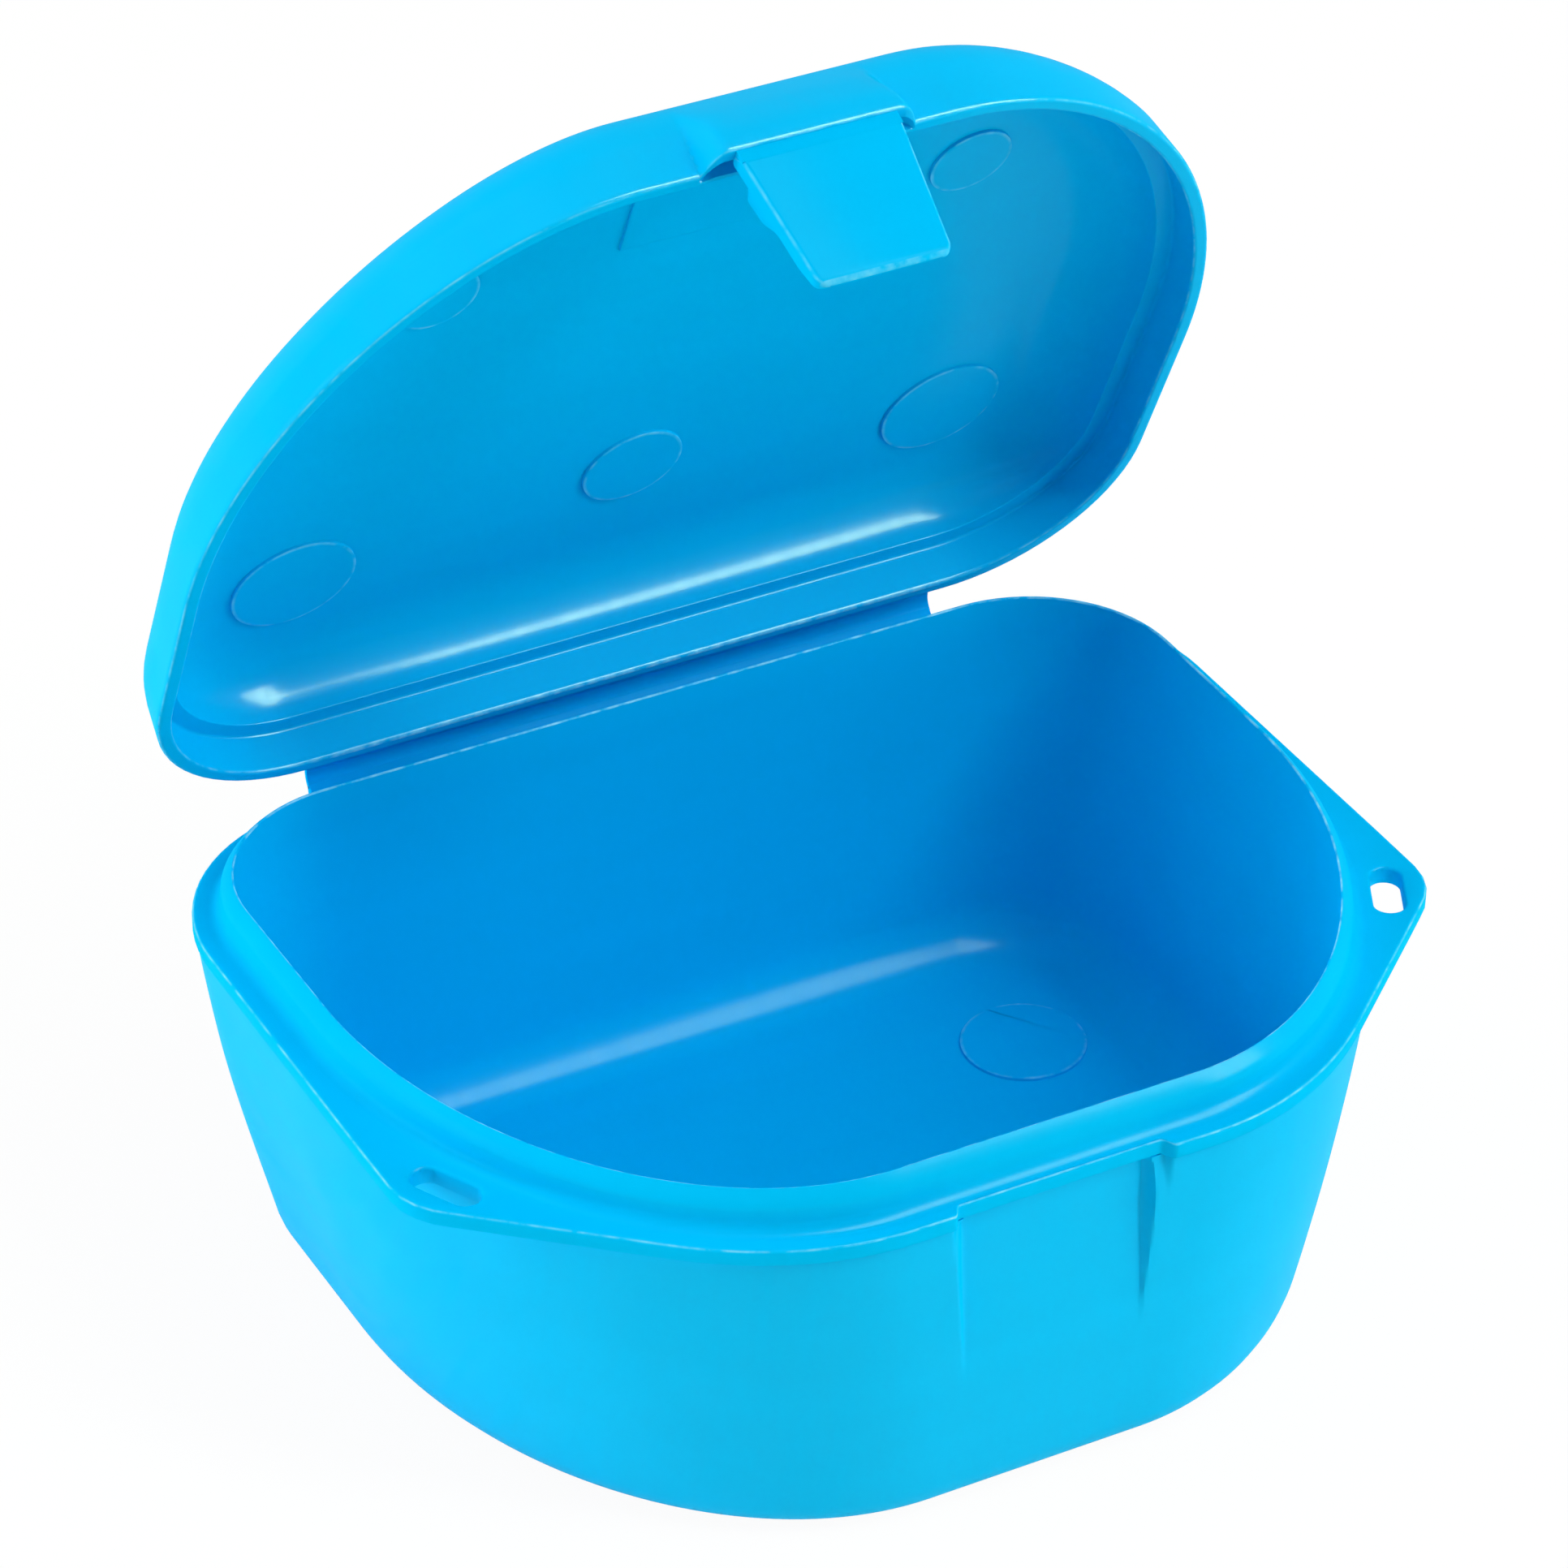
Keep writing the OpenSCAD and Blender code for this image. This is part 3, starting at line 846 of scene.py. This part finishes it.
# Rings under the rim: how far out each lies, how far out under the hood, and how high it rises there
rim_rows = [
    (0.62 * mm, 0.7 * mm, 0),
    (0.68 * mm, 0.85 * mm, hollow_lip),
    (0.74 * mm, 0.95 * mm, hollow_deep),
    (0.92 * mm, 2.3 * mm, hollow_deep),
    (0.98 * mm, 2.45 * mm, hollow_lip - hood_drop),
    (1.04 * mm, 2.55 * mm, -hood_drop),
]
skirt_steps = 10
ledge_steps = 3
lid_levels = []
for s, c in quarter(fillet_steps):
    fillet_in = ledge_in - ceiling_wide * (1 - s)
    lid_levels.append((lid_ring(fillet_in, ceiling_z - ceiling_r * (1 - c)), no_edge))
for s, c in quarter(ledge_steps):
    lid_levels.append((lid_ring(ledge_in + ledge_lip * (1 - c), ledge_z + ledge_lip * (1 - s)), no_edge))
lid_levels.append((lid_ring(collar_gap - ledge_round, ledge_z), no_edge))
for s, c in quarter(ledge_steps):
    round_out = collar_gap - ledge_round * (1 - s)
    lid_levels.append((lid_ring(round_out, ledge_z - ledge_round * (1 - c)), no_edge))
# The middle rings of the rim's two roundings get a soft pale line, a painted highlight broken like wear
for i, (s, c) in enumerate(quarter(edge_steps)):
    edge = soft_edge if i == middle_step else no_edge
    lid_levels.append((lid_ring(collar_gap + rim_r * (1 - c), rim_z + rim_r * (1 - s)), edge))
for grown, hood_grown, hood_up in rim_rows:
    lid_levels.append((rim_ring(grown, hood_grown, hood_up), no_edge))
for i, (s, c) in enumerate(quarter(edge_steps)):
    edge = soft_edge if i == middle_step else no_edge
    lid_levels.append((skirt_ring(skirt_out - rim_r * (1 - s), rim_z + rim_r * (1 - c)), edge))
skirt_low = rim_z + rim_r
for i in range(1, skirt_steps):
    share = i / skirt_steps
    skirt = skirt_out + (skirt_top - skirt_out) * share
    lid_levels.append((skirt_ring(skirt, skirt_low + (edge_z - skirt_low) * share), no_edge))
for s, c in quarter(2 * fillet_steps):
    lid_levels.append((skirt_ring(skirt_top - lid_edge_r * (1 - c), edge_z + lid_edge_r * s), no_edge))
lid = draw_skin("lid_shell", lid_levels, cap_band)

pad_half = 6.3 * mm
pad_front = -23.9 * mm
pad_back = -12.5 * mm
bpy.ops.object.select_all(action="DESELECT")
pad_middle = (0, (pad_front + pad_back) / 2, ceiling_z - mark_proud + mark_depth / 2)
bpy.ops.mesh.primitive_cube_add(size=1, location=pad_middle)
pad = bpy.context.object
pad.scale = (2 * pad_half, pad_back - pad_front, mark_depth)
bpy.ops.object.transform_apply(location=False, rotation=False, scale=True)
soften_face(pad, -1)
combine(lid, pad, "UNION")

rear_mark_x = 24 * mm
rear_mark_y = 16.5 * mm
rear_mark_r = 4.4 * mm
middle_mark_y = 13.3 * mm
middle_mark_r = 3.6 * mm
front_mark_x = 18.9 * mm
front_mark_y = -12.4 * mm
front_mark_r = 2.9 * mm
lid_marks = [(0, middle_mark_y, middle_mark_r)]
for side in (-1, 1):
    lid_marks.append((side * rear_mark_x, rear_mark_y, rear_mark_r))
    lid_marks.append((side * front_mark_x, front_mark_y, front_mark_r))
for x, y, radius in lid_marks:
    raise_mark(lid, x, y, radius, ceiling_z, -1)
for x, y, radius in lid_marks:
    highlight_mark_rim(lid, x, y, radius, ceiling_z, -1)

# Along the strap the rim's inner edge gets a pale line, a painted highlight
rim_inside = case_d / 2 + collar_gap
for vertex, edge in zip(lid.data.vertices, lid.data.attributes["edge"].data):
    beyond = vertex.co.y - rim_inside
    if 0 < beyond < rim_r and vertex.co.z < rim_z + rim_r and abs(vertex.co.x) < strap_half:
        edge.value = worn_highlight_edge


def open_with_lid(piece):
    """Turns a piece drawn on the shut lid to where the lid stands open."""
    bpy.ops.object.select_all(action="DESELECT")
    piece.select_set(True)
    bpy.context.view_layer.objects.active = piece
    bpy.ops.object.mode_set(mode="EDIT")
    bpy.ops.mesh.select_all(action="SELECT")
    bpy.ops.transform.rotate(value=lid_open, orient_axis="X", center_override=fold)
    bpy.ops.object.mode_set(mode="OBJECT")


lid_polish = 0.085
lid_plastic = make_plastic("lid_plastic", pigment_blue, worn_highlight_blue, case_gloss, lid_polish)
open_with_lid(lid)
finish_piece(lid, lid_plastic)
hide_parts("lid")
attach(lid, "lid_body")


# Latch flap. A stiff polypropylene tongue that hangs from the hood's lip, of the same shot as the lid.
# Its edges are rounded to spare the finger, and the bead on its inner side snaps under the notch.
latch_root_half = 5.6 * mm
latch_tip_half = 4.6 * mm
latch_l = 10.2 * mm
latch_fold = Vector((0, -30.4 * mm, 25.4 * mm))
latch_t = 1.2 * mm
latch_lean = 0.7 * mm
latch_face = -0.5 * mm
flap_shoulder = 0.8 * mm
root_top = 0.1 * mm
root_r = 0.35 * mm
root_deep = 0.84 * mm
root_slope = 0.6
tip_r = 0.45 * mm
tip_corner_r = 0.8 * mm
outer_corner_r = 0.36 * mm
inner_corner_r = 0.16 * mm
bead_tip = 1.7 * mm
bead_rise = (2.0 * mm, 2.35 * mm)
bead_fall = (3.9 * mm, 5.7 * mm)
thin_from = 8 * mm
thin_rate = 0.12
flap_steps = 64
tip_steps = 8
corner_steps = 4
flap_band = 0.05 * mm


def rounded_by(radius, depth):
    """How far a rounded edge has drawn in at a depth from its end."""
    short = max(0, radius - depth)
    return radius - math.sqrt(radius * radius - short * short)


def flap_section(down):
    """Half width, outer face and inner face of the flap at a distance below its fold line."""
    share = down / latch_l
    outer = latch_face + latch_lean * max(0, down - flap_shoulder) / (latch_l - flap_shoulder)
    inner = outer + latch_t - (latch_lean / latch_l + thin_rate) * max(0, down - thin_from)
    bead = ease(*bead_rise, down) * (1 - ease(*bead_fall, down))
    inner += (bead_tip - inner) * bead
    tip = rounded_by(tip_r, latch_l - down)
    outer += tip + root_slope * max(0, root_deep - down)
    inner -= tip + rounded_by(root_r, down - root_top)
    half = latch_root_half + (latch_tip_half - latch_root_half) * share
    return half - rounded_by(tip_corner_r, latch_l - down), outer, inner


# Side, inner face or not, and radius of the flap's four long edges, in the order of the ring
flap_corners = [
    (-1, False, outer_corner_r),
    (1, False, outer_corner_r),
    (1, True, inner_corner_r),
    (-1, True, inner_corner_r),
]
# The flap is at least this many corner radii thick
corner_room = 2.2


def flap_ring(down):
    """Ring round the flap, a rectangle with rounded corners."""
    half, outer, inner = flap_section(down)
    ring = []
    for side, inside, radius in flap_corners:
        radius = min(radius, (inner - outer) / corner_room)
        turns = quarter(corner_steps)
        for s, c in turns[::-1] if (side < 0) == inside else turns:
            x = side * (half - radius * (1 - c))
            y = inner - radius * (1 - s) if inside else outer + radius * (1 - s)
            ring.append(latch_fold + Vector((x, y, -down)))
    return ring


flap_downs = [root_top + root_r * (1 - c) for s, c in quarter(tip_steps)]
flap_low = latch_l - tip_corner_r
flap_high = flap_downs[-1]
flap_downs += [flap_high + (flap_low - flap_high) * i / flap_steps for i in range(1, flap_steps)]
flap_downs += [flap_low + tip_corner_r * s for s, c in quarter(2 * tip_steps)]
flap = draw_skin("latch_flap", [(flap_ring(down), no_edge) for down in flap_downs], flap_band)
# The flap's outer long edges and a band above its tip get a soft pale line, a painted highlight broken like
# wear
highlight_columns = (corner_steps // 2, corner_steps // 2 + corner_steps + 1)
outer_columns = 2 * (corner_steps + 1)
tip_highlight = 0.25 * mm
flap_columns = flap.data.attributes["column"].data
flap_edges = flap.data.attributes["edge"].data
for vertex, column, edge in zip(flap.data.vertices, flap_columns, flap_edges):
    above_tip = vertex.co.z - latch_fold.z + latch_l
    highlight_tip = column.value < outer_columns and 0 < above_tip < tip_highlight
    edge.value = soft_edge if highlight_tip or column.value in highlight_columns else no_edge
latch_plastic = make_plastic("latch_plastic", pigment_blue, worn_highlight_blue, case_gloss, film_polish)
open_with_lid(flap)
finish_piece(flap, latch_plastic)
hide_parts("latch_tab")
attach(flap, "latch_body")


# Latch film. The thin web between the hood's lip and the flap's root, of the same shot.
# It is short and bends along one line each time that the flap is flipped out.
web_up = 0.28 * mm
web_down = 0.86 * mm
web_inner = 0.12 * mm
web_outer_top = -0.42 * mm
web_outer_low = -0.485 * mm
web_side = 0.12 * mm
web_steps = 8
web_columns = 8


def web_line(top, low):
    """One face of the web, from inside the hood's lip down into the flap's root."""
    line = []
    for i in range(web_steps + 1):
        share = i / web_steps
        y = top + (low - top) * share
        z = web_up - (web_up + web_down) * share
        line.append(latch_fold + Vector((0, y, z)))
    return line


web_outline = web_line(web_outer_top, web_outer_low) + web_line(web_inner, web_inner)[::-1]
web = draw_bar("latch_web", web_outline, latch_root_half - web_side, web_columns)
open_with_lid(web)
finish_piece(web, latch_plastic)
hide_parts("latch_film")
web_start = opened(latch_fold + Vector((0, 0, web_up / 2)))
web_end = opened(latch_fold - Vector((0, 0, web_down)))
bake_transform(web, "lid_body", "latch_body", start=tuple(web_start), end=tuple(web_end))


# Studio. The case stands on a plain white paper floor, lit by softboxes from all sides and from above.
# One more lamp shows only in reflections, where it draws the bright streaks along the inner fillets.
# The floor and the world look white to the camera and in reflections, and the floor keeps the shadow.
scene = bpy.context.scene
scene.view_settings.view_transform = "Standard"
white = (1, 1, 1, 1)


def seen_light(tree):
    """1 for rays from the camera, from gloss and through glass, and 0 for rays that light the case."""
    path = add_node(tree, "ShaderNodeLightPath")
    gloss = add_node(tree, "ShaderNodeMath", operation="MAXIMUM")
    tree.links.new(path.outputs["Is Camera Ray"], gloss.inputs[0])
    tree.links.new(path.outputs["Is Glossy Ray"], gloss.inputs[1])
    glass = add_node(tree, "ShaderNodeMath", operation="MAXIMUM")
    tree.links.new(gloss.outputs[0], glass.inputs[0])
    tree.links.new(path.outputs["Is Transmission Ray"], glass.inputs[1])
    return glass.outputs[0]


ambient = 0.02
world = bpy.data.worlds.new("studio")
scene.world = world
world.use_nodes = True
sky = world.node_tree
backdrop = sky.nodes["Background"]
backdrop.inputs["Color"].default_value = white
sky_level = add_node(sky, "ShaderNodeMapRange")
sky_level.inputs["To Min"].default_value = ambient
sky_level.inputs["To Max"].default_value = 1
sky.links.new(seen_light(sky), sky_level.inputs["Value"])
sky.links.new(sky_level.outputs["Result"], backdrop.inputs["Strength"])

floor_size = 4
floor_white = (0.82, 0.82, 0.82, 1)
floor_glow = 0.95
bpy.ops.object.select_all(action="DESELECT")
bpy.ops.mesh.primitive_plane_add(size=floor_size)
floor = bpy.context.object
floor.name = "studio_floor"
paper = bpy.data.materials.new("white_paper")
paper.use_nodes = True
sheet = paper.node_tree
lit_paper = sheet.nodes["Principled BSDF"]
lit_paper.inputs["Base Color"].default_value = floor_white
lit_paper.inputs["Roughness"].default_value = 1
glow = add_node(sheet, "ShaderNodeEmission")
glow.inputs["Color"].default_value = white
white_mix = add_node(sheet, "ShaderNodeMixShader")
sheet.links.new(times(sheet, seen_light(sheet), floor_glow), white_mix.inputs["Fac"])
sheet.links.new(lit_paper.outputs["BSDF"], white_mix.inputs[1])
sheet.links.new(glow.outputs["Emission"], white_mix.inputs[2])
sheet.links.new(white_mix.outputs["Shader"], sheet.nodes["Material Output"].inputs["Surface"])
floor.data.materials.append(paper)

case_middle = Vector((0, 0, 38 * mm))


def add_softbox(name, way, distance, width, height, share):
    """Adds a softbox that looks at the case, and lights a facing surface by a share of its colour."""
    way = Vector(way).normalized()
    bpy.ops.object.light_add(type="AREA", location=case_middle + way * distance)
    lamp = bpy.context.object
    lamp.name = name
    lamp.data.shape = "RECTANGLE"
    lamp.data.size = width
    lamp.data.size_y = height
    lamp.data.energy = share * (math.pi * distance) ** 2
    lamp.rotation_euler = way.to_track_quat("Z", "Y").to_euler()
    return lamp


gloss_tint = (0.7, 1, 0.6)
gloss_lamp = add_softbox(
    "gloss_softbox", way=(0.5, -0.5, 0.71), distance=0.75, width=0.3, height=1, share=25
)
gloss_lamp.data.color = gloss_tint
gloss_lamp.visible_diffuse = False
fills = [
    add_softbox("key_softbox", way=(0.4, -0.56, 0.73), distance=0.75, width=0.07, height=0.45, share=0.47),
    add_softbox("right_softbox", way=(0.69, -0.69, 0.21), distance=0.9, width=0.8, height=0.8, share=0.3),
    add_softbox("side_softbox", way=(0.97, -0.2, 0.15), distance=0.9, width=0.6, height=0.6, share=0.25),
    add_softbox("left_softbox", way=(-0.94, 0.3, 0.17), distance=0.9, width=0.6, height=0.35, share=0.76),
    add_softbox("rear_softbox", way=(-0.5, 0.5, 0.71), distance=0.9, width=0.7, height=0.7, share=0.27),
    add_softbox("top_softbox", way=(0, 0, 1), distance=0.9, width=0.7, height=0.7, share=0.29),
    add_softbox("near_softbox", way=(-0.5, -0.5, 0.71), distance=0.9, width=0.7, height=0.7, share=0.12),
    add_softbox("far_softbox", way=(0.5, 0.5, 0.71), distance=0.9, width=0.7, height=0.7, share=0.15),
]
for fill in fills:
    fill.visible_glossy = False

frame_pixels = 1932
focal_pixels = 8444.6
sensor = 36
azimuth = math.radians(-28.35)
elevation = math.radians(34.12)
roll = math.radians(0.36)
camera_distance = 432.7 * mm
target = Vector((-3.865, 0.413, 38.036)) * mm
level_way = Vector((math.sin(azimuth), -math.cos(azimuth), 0)) * math.cos(elevation)
back_way = level_way + Vector((0, 0, math.sin(elevation)))
right_way = Vector((math.cos(azimuth), math.sin(azimuth), 0))
up_way = back_way.cross(right_way)
camera_turn = Matrix((right_way, up_way, back_way)).transposed() @ Matrix.Rotation(roll, 3, "Z")
bpy.ops.object.camera_add()
camera = bpy.context.object
camera.name = "photo_camera"
camera.data.sensor_width = sensor
camera.data.lens = focal_pixels / frame_pixels * sensor
camera_place = Matrix.Translation(target + back_way * camera_distance)
camera.matrix_world = camera_place @ camera_turn.to_4x4()
scene.camera = camera
